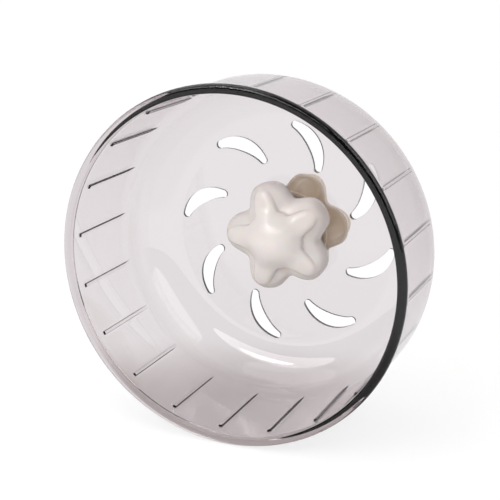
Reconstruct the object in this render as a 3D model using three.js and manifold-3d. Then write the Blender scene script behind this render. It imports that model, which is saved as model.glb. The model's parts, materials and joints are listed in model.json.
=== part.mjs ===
// Hamster wheel: a clear tub that spins on two ball bearings, clamped to cage wires by a star knob.
// Millimetres, +Z up, +Y along the axle from the open front to the knob.
// The origin is on the axle, in the plane where the inner clamp plate meets the cage wires.

import * as THREE from "three";
import { mergeVertices } from "three/addons/utils/BufferGeometryUtils.js";
import Module from "manifold-3d";

const wasm = await Module();
wasm.setup();

// Driving dimensions. Depths run backwards from the front plane of the rim.
const seatGap = 0.3;
const overrun = 1;

// Drum
const wheelRadius = 85;
const drumDepth = 76.5;
const beadStep = 2;
const beadDepth = 4.8;
const beadRound = 0.9;
const barrelWall = 2.5;
const backWall = 2.4;
const cornerRadius = 25;

// Tread ribs on the inside of the barrel
const treadCount = 20;
const treadPhase = THREE.MathUtils.degToRad(13.4);
const treadWidth = 1.7;
const treadHeight = 1;
const treadStart = 8.1;
const treadRunout = 4.4;
const treadFade = 7.5;
const treadRoot = 1;

// Crescent vents in the back wall: a bent spine with a width that narrows to both ends
const ventCount = 8;
const ventPhase = THREE.MathUtils.degToRad(29.3);
const ventSpineRadius = 20.3;
const ventSpineRise = 34.3;
const ventSpineShift = 13.2;
const ventSweepStart = THREE.MathUtils.degToRad(9.5);
const ventSweepEnd = THREE.MathUtils.degToRad(83);
const ventMiddleWidth = 7;
const ventEndWidth = 3.9;

// Five-lobed stars: the hub cap in front of the wall and the clamp knob behind it
const lobeCount = 5;
const starLobeRadius = 28;
const starValleyRadius = 20.9;
const creaseLobeRadius = 25.3;
const creaseValleyRadius = 14.6;
const capDepth = 23.8;
const capWall = 2.2;
const capTuck = 1.6;
const capPhase = THREE.MathUtils.degToRad(35.8);
const knobDepth = 18.5;
const knobWall = 2.6;
const knobTuck = 0.4;
const knobPhase = THREE.MathUtils.degToRad(4.6);

// Ball bearings, 6 x 19 x 6. The shares are of the height between the bore and the outside.
const bearingBore = 6;
const bearingDiameter = 19;
const bearingWidth = 6;
const ringWallShare = 0.2;
const grooveDepthShare = 0.092;
const ballCount = 7;
const ballClearance = 0.2;
const shieldStepShare = 0.108;
const shieldThickness = 0.25;
const shieldRecess = 0.15;
const cageGapShare = 0.062;
const cageReach = 1;
const pocketClearance = 0.12;

// Hub flange, its sleeve and its screws
const flangeRadius = 21.2;
const flangeThickness = 2.5;
const flangeRound = 0.8;
const sleeveWall = 1.8;
const bearingRecess = 0.9;
const shoulderWidth = 6;
const shoulderHeight = 1.5;
const screwCircleRadius = 17.6;
const screwDiameter = 3;
const screwLength = 13;
const screwHeadDiameter = 5;
const screwHeadHeight = 1.8;
const screwHeadRound = 0.6;
const screwBossDiameter = 6.4;
const screwBossHeight = 13.9;

// Axle bolt and what is threaded on it
const boltDiameter = 6;
const boltLength = 45;
const boltHeadHeight = 4;
const hexAcrossFlats = 10;
const hexChamfer = 0.5;
const shimDiameter = 9.2;
const shimThickness = 1;
const spacerDiameter = 8.6;
const jamNutHeight = 3.2;
const knobNutHeight = 5.2;

// Clamp: the plate, the wire gap, the washer and the knob's boss
const clampGap = 5;
const tightenTravel = 3.5;
const plateRadius = 14.5;
const plateThickness = 4;
const plateFloor = 1.5;
const plateChamfer = 0.8;
const washerRadius = 12.5;
const washerThickness = 1.5;
const washerProud = 0.8;
const knobBossDiameter = 15.2;

// Facets round a full turn, and steps along an arc
const drumFacets = 60;
const starFacets = 40;
const hubFacets = 24;
const ringFacets = 20;
const boltFacets = 12;
const hexSides = 6;
const ballFacets = 8;
const ballRows = 5;
const cornerSteps = 5;
const noseSteps = 4;
const skirtSteps = 3;
const grooveSteps = 4;
const ventSteps = 5;

// Finishes
const clearPlastic = { color: 0xe8e4e5, roughness: 0.12, metalness: 0, transparent: true, opacity: 0.4 };
const creamPlastic = { color: 0xe0d9d3, roughness: 0.35, metalness: 0 };
const steel = { color: 0xb9bcc0, roughness: 0.3, metalness: 1 };
const brass = { color: 0xc9a55a, roughness: 0.35, metalness: 1 };
const cagePlastic = { color: 0x3d4a3f, roughness: 0.5, metalness: 0 };

// Derived radii
const barrelRadius = wheelRadius - beadStep;
const barrelInnerRadius = barrelRadius - barrelWall;
const cornerCentreRadius = barrelInnerRadius - cornerRadius;
const threadRadius = boltDiameter / 2 - seatGap;
const boltHoleRadius = boltDiameter / 2;
const pitchRadius = (bearingBore + bearingDiameter) / 4;
const bearingSection = (bearingDiameter - bearingBore) / 2;
const grooveRadius = bearingSection * (1 / 2 - ringWallShare);
const ballRadius = grooveRadius - ballClearance;
const landReach = grooveRadius - bearingSection * grooveDepthShare;
const outerLandRadius = pitchRadius + landReach;
const innerLandRadius = pitchRadius - landReach;
const shieldSeatRadius = outerLandRadius + bearingSection * shieldStepShare;
const cageGap = bearingSection * cageGapShare;
const sleeveBore = bearingDiameter / 2 + seatGap;
const sleeveRadius = sleeveBore + sleeveWall;
const screwHoleRadius = screwDiameter / 2 + seatGap;

// Derived depths, measured backwards from the front plane of the rim
const wallFront = drumDepth - backWall;
const cornerCentreDepth = wallFront - cornerRadius;
const treadEnd = cornerCentreDepth + treadRunout;
const capEdge = wallFront - seatGap;
const flangeFront = drumDepth + seatGap;
const flangeBack = flangeFront + flangeThickness;
const screwSeat = flangeBack + seatGap;
const rearBearingFront = flangeBack - bearingRecess - bearingWidth;
const shoulderBack = rearBearingFront - seatGap;
const shoulderFront = shoulderBack - shoulderWidth;
const frontBearingFront = shoulderFront - seatGap - bearingWidth;
const collarShimFront = rearBearingFront + bearingWidth + seatGap;
const jamNutFront = collarShimFront + shimThickness + seatGap;
const pocketFloor = jamNutFront + jamNutHeight + seatGap;
const plateBack = pocketFloor + plateFloor;
const headShimFront = frontBearingFront - seatGap - shimThickness;
const boltSeat = headShimFront - seatGap;
const boltTip = boltSeat + boltLength;
const washerFront = plateBack + clampGap;
const knobEdge = washerFront + washerProud;
const knobBossFront = washerFront + washerThickness + seatGap;
const knobNutFront = knobBossFront + seatGap;

// The raised middle of a star, from its crease to its crown: height, lobe radius and valley radius.
const middleShares = [
  [0.1, 0.965, 0.985],
  [0.2, 0.8, 0.955],
  [0.33, 0.63, 0.9],
  [0.55, 0.49, 0.76],
  [0.78, 0.34, 0.56],
  [0.94, 0.17, 0.3],
];
// Heights of a star's widest outline and of its crease, and how square its lobes are at each.
const widestHeightShare = 0.244;
const creaseHeightShare = 0.55;
const widestSquareShare = -0.224;
const creaseSquareShare = 0.237;
// Where the tucked edge is drawn in, from the widest outline to the edge.
const tuckShares = [0.6, 1];

// A closed geometry becomes a solid for joining and cutting.
function toSolid(geometry) {
  geometry.deleteAttribute("normal");
  geometry.deleteAttribute("uv");
  const merged = mergeVertices(geometry);
  const vertProperties = new Float32Array(merged.attributes.position.array);
  const triVerts = new Uint32Array(merged.index.array);
  return new wasm.Manifold(new wasm.Mesh({ numProp: 3, vertProperties, triVerts }));
}

function toGeometry(solid) {
  const mesh = solid.getMesh();
  const geometry = new THREE.BufferGeometry();
  geometry.setAttribute("position", new THREE.BufferAttribute(mesh.vertProperties, 3));
  geometry.setIndex(new THREE.BufferAttribute(mesh.triVerts, 1));
  geometry.computeVertexNormals();
  return geometry;
}

// A point of a profile: its radius from the axle and its depth along it.
function point(radius, depth) {
  return new THREE.Vector2(radius, depth);
}

// An arc of a profile, both ends included. Its two reaches differ where its walls do.
function arc(centre, radialReach, depthReach, start, end, steps) {
  return Array.from({ length: steps + 1 }, (_, i) => {
    const angle = start + ((end - start) * i) / steps;
    return point(centre.x + radialReach * Math.cos(angle), centre.y + depthReach * Math.sin(angle));
  });
}

// A solid of revolution. The profile runs anticlockwise, and starts and ends on the axle or closes on itself.
function revolve(profile, facets, phase = 0) {
  const onAxle = profile[0].x === 0;
  const points = onAxle ? profile : [...profile, profile[0].clone()];
  return new THREE.LatheGeometry(points, facets, Math.PI / 2 - phase);
}

function ring(innerRadius, outerRadius, front, back, facets) {
  const corners = [
    point(innerRadius, front),
    point(outerRadius, front),
    point(outerRadius, back),
    point(innerRadius, back),
  ];
  return revolve(corners, facets);
}

function rod(radius, front, back, facets) {
  return revolve([point(0, front), point(radius, front), point(radius, back), point(0, back)], facets);
}

// Carries a geometry from beside the axle out to a circle, at an angle seen from the front.
function setOut(geometry, radius, angle) {
  return geometry.translate(radius * Math.cos(angle), 0, radius * Math.sin(angle));
}

// A hexagon with turned corners, as on a bolt head or a nut.
function hexBlank(height) {
  const hexRadius = hexAcrossFlats / 2 / Math.cos(Math.PI / hexSides);
  const turned = [
    point(0, 0),
    point(hexRadius - hexChamfer, 0),
    point(hexRadius, hexChamfer),
    point(hexRadius, height - hexChamfer),
    point(hexRadius - hexChamfer, height),
    point(0, height),
  ];
  return toSolid(rod(hexRadius, 0, height, hexSides)).intersect(toSolid(revolve(turned, boltFacets)));
}

function hexPocket(front, back) {
  const radius = (hexAcrossFlats / 2 + seatGap) / Math.cos(Math.PI / hexSides);
  return toSolid(rod(radius, front, back, hexSides));
}

function evenly(count, phase = 0) {
  return Array.from({ length: count }, (_, i) => phase + (i * 2 * Math.PI) / count);
}

function piece(name, geometry, finish, depth = 0) {
  const mesh = new THREE.Mesh(geometry, new THREE.MeshStandardMaterial(finish));
  mesh.name = name;
  mesh.position.y = depth;
  return mesh;
}

// Drum: bead, barrel, rounded back corner and back wall in one wall-thick profile.
function drumShell() {
  const noseReach = (beadStep + barrelWall) / 2;
  const corner = point(cornerCentreRadius, cornerCentreDepth);
  const profile = [
    ...arc(point(wheelRadius - noseReach, noseReach), noseReach, noseReach, Math.PI, 2 * Math.PI, noseSteps),
    point(wheelRadius, beadDepth - beadRound),
    point(wheelRadius - beadRound, beadDepth),
    point(barrelRadius, beadDepth),
    ...arc(corner, cornerRadius + barrelWall, cornerRadius + backWall, 0, Math.PI / 2, cornerSteps),
    point(sleeveRadius + seatGap, drumDepth),
    point(sleeveRadius + seatGap, wallFront),
    ...arc(corner, cornerRadius, cornerRadius, Math.PI / 2, 0, cornerSteps),
  ];
  return toSolid(revolve(profile, drumFacets, treadPhase + Math.PI / drumFacets));
}

// One tread rib: square at the front, fading into the rounded corner at the back.
function treadRib(angle) {
  const topRadius = barrelInnerRadius - treadHeight;
  const endRadius = cornerCentreRadius + Math.sqrt(cornerRadius ** 2 - treadRunout ** 2);
  const side = new THREE.Shape([
    point(topRadius, treadStart),
    point(barrelInnerRadius + treadRoot, treadStart),
    point(endRadius + treadRoot, treadEnd),
    point(endRadius, treadEnd),
    point(topRadius, treadEnd - treadFade),
  ]);
  const rib = new THREE.ExtrudeGeometry(side, { depth: treadWidth, bevelEnabled: false });
  rib.translate(0, 0, -treadWidth / 2);
  rib.rotateY(-angle);
  return toSolid(rib);
}

// One crescent vent, as a cutter through the back wall.
function ventCutter(angle) {
  const middle = (ventSweepStart + ventSweepEnd) / 2;
  const halfSweep = (ventSweepEnd - ventSweepStart) / 2;
  const edge = (share, side) => {
    const turn = middle + share * halfSweep;
    const bulge = (ventMiddleWidth - ventEndWidth) * Math.cos((share * Math.PI) / 2);
    const radius = ventSpineRadius + (side * (ventEndWidth + bulge)) / 2;
    return point(radius * Math.cos(turn), radius * Math.sin(turn));
  };
  const tip = (share) => {
    const turn = middle + share * halfSweep;
    const end = point(ventSpineRadius * Math.cos(turn), ventSpineRadius * Math.sin(turn));
    const start = share > 0 ? turn : turn + Math.PI;
    return arc(end, ventEndWidth / 2, ventEndWidth / 2, start, start + Math.PI, noseSteps).slice(1, -1);
  };
  const shares = Array.from({ length: ventSteps + 1 }, (_, i) => (2 * i) / ventSteps - 1);
  const outline = [
    ...shares.map((share) => edge(share, 1)),
    ...tip(1),
    ...shares.map((share) => edge(-share, -1)),
    ...tip(-1),
  ];
  const shape = new THREE.Shape(outline.map((p) => point(p.x - ventSpineShift, p.y + ventSpineRise)));
  const depth = backWall + 2 * overrun;
  const cutter = new THREE.ExtrudeGeometry(shape, { depth, bevelEnabled: false });
  cutter.rotateX(Math.PI / 2);
  cutter.translate(0, drumDepth + overrun, 0);
  cutter.rotateY(Math.PI / 2 - angle);
  return toSolid(cutter);
}

// Screw holes on the hub's circle, one in line with each lobe of the cap.
function screwHoles(front, back) {
  return evenly(lobeCount, capPhase).map((angle) => {
    const hole = rod(screwHoleRadius, front, back, boltFacets);
    return toSolid(setOut(hole, screwCircleRadius, angle));
  });
}

function cut(solid, cutters) {
  return cutters.reduce((left, cutter) => left.subtract(cutter), solid);
}

function makeDrum() {
  const ribbed = evenly(treadCount, treadPhase)
    .map(treadRib)
    .reduce((joined, rib) => joined.add(rib), drumShell());
  const vented = cut(ribbed, evenly(ventCount, ventPhase).map(ventCutter));
  return cut(vented, screwHoles(wallFront - overrun, drumDepth + overrun));
}

// The outer surface of a star, from its crown to its edge, as profiles over a lobe and over a valley.
// Its inside, which follows it, needs only the rows of one stride in two.
function starSurface(depth, tuck, stride) {
  const widestHeight = depth * widestHeightShare;
  const creaseHeight = depth * creaseHeightShare;
  const stations = [{ lobe: point(0, -depth), valley: point(0, -depth), square: 0 }];
  const rows = middleShares.filter((_, i) => i % stride === 0).reverse();
  for (const [heightShare, lobeShare, valleyShare] of rows) {
    const height = creaseHeight + (depth - creaseHeight) * heightShare;
    stations.push({
      lobe: point(creaseLobeRadius * lobeShare, -height),
      valley: point(creaseValleyRadius * valleyShare, -height),
      square: creaseSquareShare * lobeShare,
    });
  }
  const steps = Math.ceil(skirtSteps / stride);
  for (let i = 0; i <= steps; i += 1) {
    const turn = ((1 - i / steps) * Math.PI) / 2;
    const height = widestHeight + (creaseHeight - widestHeight) * Math.sin(turn);
    const outShare = Math.cos(turn);
    stations.push({
      lobe: point(creaseLobeRadius + (starLobeRadius - creaseLobeRadius) * outShare, -height),
      valley: point(creaseValleyRadius + (starValleyRadius - creaseValleyRadius) * outShare, -height),
      square: creaseSquareShare + (widestSquareShare - creaseSquareShare) * outShare,
    });
  }
  for (const share of tuckShares.slice(stride - 1)) {
    const drawnIn = tuck * share ** 2;
    const height = widestHeight * (1 - share);
    stations.push({
      lobe: point(starLobeRadius - drawnIn, -height),
      valley: point(starValleyRadius - drawnIn, -height),
      square: widestSquareShare,
    });
  }
  return stations;
}

// A profile moved inwards by a wall: the crown stays on the axle and the edge in its plane.
function inset(profile, wall) {
  return profile.map((p, i) => {
    const before = profile[Math.max(i - 1, 0)];
    const after = profile[Math.min(i + 1, profile.length - 1)];
    const along = after.clone().sub(before).normalize();
    if (i === 0) return point(0, p.y + wall);
    if (i === profile.length - 1) return point(p.x - wall, p.y);
    return point(Math.max(p.x - wall * along.y, 0), p.y + wall * along.x);
  });
}

// A hollow star with its edge at depth zero and its crown in front of it.
function starShell(depth, wall, tuck, phase) {
  const follower = starSurface(depth, tuck, 2);
  const lobeInside = inset(follower.map((station) => station.lobe), wall);
  const valleyInside = inset(follower.map((station) => station.valley), wall);
  const inside = follower
    .map((station, i) => ({ lobe: lobeInside[i], valley: valleyInside[i], square: station.square }))
    .reverse();
  const stations = [...starSurface(depth, tuck, 1), ...inside];
  const geometry = new THREE.LatheGeometry(stations.map((station) => station.lobe), starFacets);
  const position = geometry.attributes.position;
  for (let i = 0; i <= starFacets; i += 1) {
    const turn = ((i % starFacets) * 2 * Math.PI) / starFacets;
    const wave = Math.cos(lobeCount * turn);
    const squareWave = Math.cos(2 * lobeCount * turn) - 1;
    stations.forEach(({ lobe, valley, square }, j) => {
      const radius = (lobe.x + valley.x + (lobe.x - valley.x) * (wave + square * squareWave)) / 2;
      const depthHere = (lobe.y + valley.y + (lobe.y - valley.y) * wave) / 2;
      const angle = phase - turn;
      position.setXYZ(i * stations.length + j, radius * Math.cos(angle), depthHere, radius * Math.sin(angle));
    });
  }
  return toSolid(geometry);
}

// Front star: the hub cap, with a blind screw boss in each lobe.
function makeFrontStar() {
  const holeEnd = screwSeat - screwLength - seatGap - capEdge;
  const angles = evenly(lobeCount, capPhase);
  const bosses = angles.map((angle) => {
    const boss = rod(screwBossDiameter / 2, -screwBossHeight, 0, boltFacets);
    return toSolid(setOut(boss, screwCircleRadius, angle));
  });
  const shell = starShell(capDepth, capWall, capTuck, capPhase);
  const bossed = bosses.reduce((joined, boss) => joined.add(boss), shell);
  return cut(bossed, screwHoles(holeEnd, overrun));
}

// Rear star: the clamp knob, with a central boss that holds its nut.
// It is drawn as the cap is, crown forwards, and turned round where it is placed.
function makeRearStar() {
  const bossEdge = knobEdge - knobBossFront;
  const holeEnd = knobEdge - boltTip - tightenTravel - seatGap;
  const nutEnd = knobEdge - knobNutFront - knobNutHeight - seatGap;
  const shell = starShell(knobDepth, knobWall, knobTuck, -knobPhase);
  const boss = toSolid(rod(knobBossDiameter / 2, knobWall - knobDepth, bossEdge, hubFacets));
  const hole = toSolid(rod(boltHoleRadius, holeEnd, overrun, boltFacets));
  return cut(shell.add(boss), [hole, hexPocket(nutEnd, overrun)]);
}

function makeHubFlange() {
  const profile = [
    point(sleeveBore, frontBearingFront),
    point(sleeveRadius, frontBearingFront),
    point(sleeveRadius, flangeFront),
    point(flangeRadius, flangeFront),
    point(flangeRadius, flangeBack - flangeRound),
    point(flangeRadius - flangeRound, flangeBack),
    point(sleeveBore, flangeBack),
    point(sleeveBore, shoulderBack),
    point(sleeveBore - shoulderHeight, shoulderBack),
    point(sleeveBore - shoulderHeight, shoulderFront),
    point(sleeveBore, shoulderFront),
  ];
  return cut(toSolid(revolve(profile, hubFacets)), screwHoles(flangeFront - overrun, flangeBack + overrun));
}

// A self-tapping screw with its head's underside at depth zero and its point in front of it.
function screwGeometry() {
  const radius = screwDiameter / 2;
  const headRadius = screwHeadDiameter / 2;
  const profile = [
    point(0, -screwLength),
    point(radius, radius - screwLength),
    point(radius, 0),
    point(headRadius, 0),
    point(headRadius, screwHeadHeight - screwHeadRound),
    point(headRadius - screwHeadRound, screwHeadHeight),
    point(0, screwHeadHeight),
  ];
  return revolve(profile, boltFacets);
}

function boltGeometry() {
  const shank = [
    point(0, -overrun),
    point(threadRadius, -overrun),
    point(threadRadius, boltLength - hexChamfer),
    point(threadRadius - hexChamfer, boltLength),
    point(0, boltLength),
  ];
  const head = hexBlank(boltHeadHeight).translate([0, -boltHeadHeight, 0]);
  return toGeometry(head.add(toSolid(revolve(shank, boltFacets))));
}

function nutGeometry(height) {
  return toGeometry(hexBlank(height).subtract(toSolid(rod(boltHoleRadius, -overrun, height + overrun, boltFacets))));
}

function clampPlateGeometry() {
  const profile = [
    point(boltHoleRadius, 0),
    point(plateRadius - plateChamfer, 0),
    point(plateRadius, plateChamfer),
    point(plateRadius, plateThickness - plateChamfer),
    point(plateRadius - plateChamfer, plateThickness),
    point(boltHoleRadius, plateThickness),
  ];
  return toGeometry(toSolid(revolve(profile, hubFacets)).subtract(hexPocket(-overrun, plateThickness - plateFloor)));
}

// A shielded deep-groove ball bearing with its front face at the given depth.
function makeBearing(label, front) {
  const middle = bearingWidth / 2;
  const shieldFront = bearingWidth - shieldRecess - shieldThickness;
  const notch = shieldRecess + shieldThickness + seatGap;
  const spread = Math.acos(landReach / grooveRadius);
  const pitch = point(pitchRadius, middle);
  const outerRing = [
    point(bearingDiameter / 2, 0),
    point(bearingDiameter / 2, bearingWidth),
    point(shieldSeatRadius, bearingWidth),
    point(shieldSeatRadius, bearingWidth - notch),
    point(outerLandRadius, bearingWidth - notch),
    ...arc(pitch, grooveRadius, grooveRadius, spread, -spread, grooveSteps),
    point(outerLandRadius, notch),
    point(shieldSeatRadius, notch),
    point(shieldSeatRadius, 0),
  ];
  const innerRing = [
    point(bearingBore / 2, 0),
    point(innerLandRadius, 0),
    ...arc(pitch, grooveRadius, grooveRadius, Math.PI + spread, Math.PI - spread, grooveSteps),
    point(innerLandRadius, bearingWidth),
    point(bearingBore / 2, bearingWidth),
  ];
  const shieldRing = (depth) =>
    ring(innerLandRadius + seatGap, shieldSeatRadius - seatGap, depth, depth + shieldThickness, ringFacets);
  const ball = (radius) => new THREE.SphereGeometry(radius, ballFacets, ballRows);
  const angles = evenly(ballCount);
  const pockets = angles.map((angle) => {
    const pocket = ball(ballRadius + pocketClearance);
    pocket.translate(pitchRadius, middle, 0);
    pocket.rotateY(-angle);
    return toSolid(pocket);
  });
  const cageRing = ring(
    innerLandRadius + cageGap,
    outerLandRadius - cageGap,
    middle - cageReach,
    shieldFront - seatGap,
    2 * ballCount,
  );

  const bearing = new THREE.Group();
  bearing.position.y = front;
  bearing.add(
    piece(`${label}_bearing_outer_ring`, revolve(outerRing, ringFacets), steel),
    piece(`${label}_bearing_inner_ring`, revolve(innerRing, ringFacets), steel),
    piece(`${label}_bearing_front_shield`, shieldRing(shieldRecess), steel),
    piece(`${label}_bearing_rear_shield`, shieldRing(shieldFront), steel),
    piece(`${label}_bearing_cage`, toGeometry(cut(toSolid(cageRing), pockets)), cagePlastic),
  );
  angles.forEach((angle, i) => {
    const mesh = piece(`${label}_bearing_ball_${i + 1}`, ball(ballRadius), steel, middle);
    mesh.position.x = pitchRadius * Math.cos(angle);
    mesh.position.z = pitchRadius * Math.sin(angle);
    mesh.rotation.y = -angle;
    bearing.add(mesh);
  });
  return bearing;
}

// What spins with the hamster
function makeWheel() {
  const wheel = new THREE.Group();
  wheel.add(
    piece("drum", toGeometry(makeDrum()), clearPlastic),
    piece("front_star", toGeometry(makeFrontStar()), creamPlastic, capEdge),
    piece("hub_flange", toGeometry(makeHubFlange()), creamPlastic),
  );
  evenly(lobeCount, capPhase).forEach((angle, i) => {
    const screw = piece(`hub_screw_${i + 1}`, screwGeometry(), steel, screwSeat);
    screw.position.x = screwCircleRadius * Math.cos(angle);
    screw.position.z = screwCircleRadius * Math.sin(angle);
    wheel.add(screw);
  });
  return wheel;
}

// What stands still, held by the cage wires
function makeAxle() {
  const shim = () => ring(boltHoleRadius, shimDiameter / 2, 0, shimThickness, boltFacets);
  const axle = new THREE.Group();
  axle.add(
    piece("axle_bolt", boltGeometry(), steel, boltSeat),
    piece("head_shim", shim(), steel, headShimFront),
    piece("inner_spacer", ring(boltHoleRadius, spacerDiameter / 2, 0, shoulderWidth, boltFacets), steel, shoulderFront),
    piece("collar_shim", shim(), steel, collarShimFront),
    piece("jam_nut", nutGeometry(jamNutHeight), steel, jamNutFront),
    piece("clamp_plate", clampPlateGeometry(), creamPlastic, plateBack - plateThickness),
  );
  return axle;
}

// The outer half of the clamp, screwed up behind the cage wires
function makeKnob() {
  const washer = ring(boltHoleRadius, washerRadius, 0, washerThickness, hubFacets);
  const star = piece("rear_star", toGeometry(makeRearStar()), creamPlastic, knobEdge);
  star.rotation.x = Math.PI;
  const knob = new THREE.Group();
  knob.add(
    piece("clamp_washer", washer, steel, washerFront),
    star,
    piece("knob_nut", nutGeometry(knobNutHeight), brass, knobNutFront),
  );
  return knob;
}

const hamsterWheel = new THREE.Group();
hamsterWheel.add(
  makeWheel(),
  makeBearing("front", frontBearingFront),
  makeBearing("rear", rearBearingFront),
  makeAxle(),
  makeKnob(),
);
hamsterWheel.position.y = -plateBack;

export default hamsterWheel;
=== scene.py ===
import json
import math

import bmesh
import bpy
from mathutils import Matrix, Vector


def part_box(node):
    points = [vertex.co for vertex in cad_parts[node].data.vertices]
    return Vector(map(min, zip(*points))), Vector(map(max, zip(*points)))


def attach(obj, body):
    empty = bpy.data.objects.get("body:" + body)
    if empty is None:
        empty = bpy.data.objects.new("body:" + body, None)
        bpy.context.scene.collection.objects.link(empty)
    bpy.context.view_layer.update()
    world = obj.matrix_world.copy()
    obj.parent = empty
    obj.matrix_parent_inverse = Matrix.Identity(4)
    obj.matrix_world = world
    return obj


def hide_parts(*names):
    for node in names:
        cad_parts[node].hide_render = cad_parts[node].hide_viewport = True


# Clear hamster wheel with a cream star in front of its back wall and one behind it.
# Metres, +Z up, +Y along the axle from the open front to the clamp knob.
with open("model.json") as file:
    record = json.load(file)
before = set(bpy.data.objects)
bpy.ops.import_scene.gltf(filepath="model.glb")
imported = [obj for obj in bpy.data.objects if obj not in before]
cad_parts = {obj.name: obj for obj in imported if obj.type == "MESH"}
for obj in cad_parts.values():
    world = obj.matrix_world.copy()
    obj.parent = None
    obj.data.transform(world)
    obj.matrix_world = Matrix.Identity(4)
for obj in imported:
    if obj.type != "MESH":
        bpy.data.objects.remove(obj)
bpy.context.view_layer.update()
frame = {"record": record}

mm = 0.001
fullTurn = 2 * math.pi
white = (1, 1, 1, 1)
drumLow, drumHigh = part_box("drum")
rimPlane = drumLow[1]


def srgb(red, green, blue):  # display levels, 0 to 255
    levels = [v / 255 for v in (red, green, blue)]
    return tuple(v / 12.92 if v <= 0.04045 else ((v + 0.055) / 1.055) ** 2.4 for v in levels) + (1,)


def at(radius, angle, depth=0.0):  # mm and an angle seen from the front; depth runs back from the rim
    return Vector((radius * math.cos(angle) * mm, rimPlane + depth * mm, radius * math.sin(angle) * mm))


def link(name, mesh):
    piece = bpy.data.objects.new(name, mesh)
    bpy.context.scene.collection.objects.link(piece)
    return piece


def finishMesh(name, bm, sharpAngle=None):
    mesh = bpy.data.meshes.new(name)
    bm.to_mesh(mesh)
    bm.free()
    mesh.shade_smooth()
    if sharpAngle is not None:
        mesh.set_sharp_from_angle(angle=math.radians(sharpAngle))
    return mesh


def bake(piece):  # live modifiers become a plain mesh
    evaluated = piece.evaluated_get(bpy.context.evaluated_depsgraph_get())
    mesh = bpy.data.meshes.new_from_object(evaluated)
    piece.modifiers.clear()
    piece.data = mesh
    mesh.name = piece.name
    return piece


def arc(centre, reach, start, end, steps, rise=None):  # (radius, depth) points, angles in degrees
    turns = [math.radians(start + (end - start) * i / steps) for i in range(steps + 1)]
    return [(centre[0] + reach * math.cos(t), centre[1] + (rise or reach) * math.sin(t)) for t in turns]


def revolve(profile, angles, radiusAt=None, closed=True):  # a profile of (radius, depth) about the axle
    bm = bmesh.new()
    rings = []
    for row, (radius, depth) in enumerate(profile):
        if radius == 0:
            rings.append([bm.verts.new(at(0, 0, depth))] * len(angles))
            continue
        reach = [radiusAt(row, radius, depth, a) if radiusAt else radius for a in angles]
        rings.append([bm.verts.new(at(r, a, depth)) for r, a in zip(reach, angles)])
    for low, high in zip(rings, rings[1:] + (rings[:1] if closed else [])):
        for i in range(len(angles)):
            corners = list(dict.fromkeys([low[i - 1], low[i], high[i], high[i - 1]]))
            if len(corners) > 2:
                bm.faces.new(corners)
    bmesh.ops.recalc_face_normals(bm, faces=bm.faces)
    return bm


def evenTurns(count, phase=0.0):
    return [phase + fullTurn * i / count for i in range(count)]


# Camera, as the photograph was taken
camera = {
    "place": (0.220475, -0.566511, 0.162036),
    "aim": (-0.381072, 0.882590, -0.275352),
    "lens": 88.3,
    "sensor": 36,
}
photoCamera = bpy.data.cameras.new("photoCamera")
photoCamera.lens = camera["lens"]
photoCamera.sensor_width = camera["sensor"]
photoCamera.clip_start = 0.01
photoCamera.clip_end = 50
cameraObject = bpy.data.objects.new("photoCamera", photoCamera)
cameraObject.location = camera["place"]
cameraObject.rotation_euler = Vector(camera["aim"]).to_track_quat("-Z", "Y").to_euler()
bpy.context.scene.collection.objects.link(cameraObject)
bpy.context.scene.camera = cameraObject
bpy.context.scene.view_settings.view_transform = "Standard"
print("camera placed")


def fill(tree, node, values):  # each value is a number, a tuple or another node's socket
    for key, value in values.items():
        if isinstance(value, bpy.types.NodeSocket):
            tree.links.new(value, node.inputs[key])
        else:
            node.inputs[key].default_value = value


def addNode(tree, kind, values=None, **settings):
    node = tree.nodes.new(kind)
    for key, value in settings.items():
        setattr(node, key, value)
    fill(tree, node, values or {})
    return node


def mathNode(tree, operation, *inputs):
    return addNode(tree, "ShaderNodeMath", dict(enumerate(inputs)), operation=operation).outputs[0]


def mixColours(tree, share, first, second):
    mix = addNode(tree, "ShaderNodeMix", {"Factor": share, 6: first, 7: second}, data_type="RGBA")
    return mix.outputs[2]


def ramp(tree, value, edges, ends=(0, 1), shape="LINEAR"):
    return addNode(tree, "ShaderNodeMapRange", {
        "Value": value, "From Min": edges[0], "From Max": edges[1], "To Min": ends[0], "To Max": ends[1],
    }, interpolation_type=shape).outputs["Result"]


def newTree(kind, name, inputs, outputs):  # gives the sockets of its group input and output too
    tree = bpy.data.node_groups.new(name, kind)
    for label, socket, value in inputs:
        item = tree.interface.new_socket(label, in_out="INPUT", socket_type=socket)
        if value is not None:
            item.default_value = value
    for label, socket in outputs:
        tree.interface.new_socket(label, in_out="OUTPUT", socket_type=socket)
    return tree, tree.nodes.new("NodeGroupInput").outputs, tree.nodes.new("NodeGroupOutput").inputs


# Shader node groups, shared by the finishes
surfaceInputs = [
    ("Colour", "NodeSocketColor", (0.8, 0.8, 0.8, 1)),
    ("Second Colour", "NodeSocketColor", (0.7, 0.7, 0.7, 1)),
    ("Patch Scale", "NodeSocketFloat", 40.0),
    ("Grain Scale", "NodeSocketFloat", 900.0),
    ("Roughness", "NodeSocketFloat", 0.4),
    ("Roughness Spread", "NodeSocketFloat", 0.1),
]
surfaceOutputs = [
    ("Colour", "NodeSocketColor"),
    ("Roughness", "NodeSocketFloat"),
    ("Height", "NodeSocketFloat"),
]


def newSkin(name):
    return newTree("ShaderNodeTree", name, surfaceInputs, surfaceOutputs)


def noiseNode(tree, place, scale, detail=2.0, roughness=0.5):
    values = {"Vector": place, "Scale": scale, "Detail": detail, "Roughness": roughness}
    return addNode(tree, "ShaderNodeTexNoise", values).outputs[0]


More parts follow.
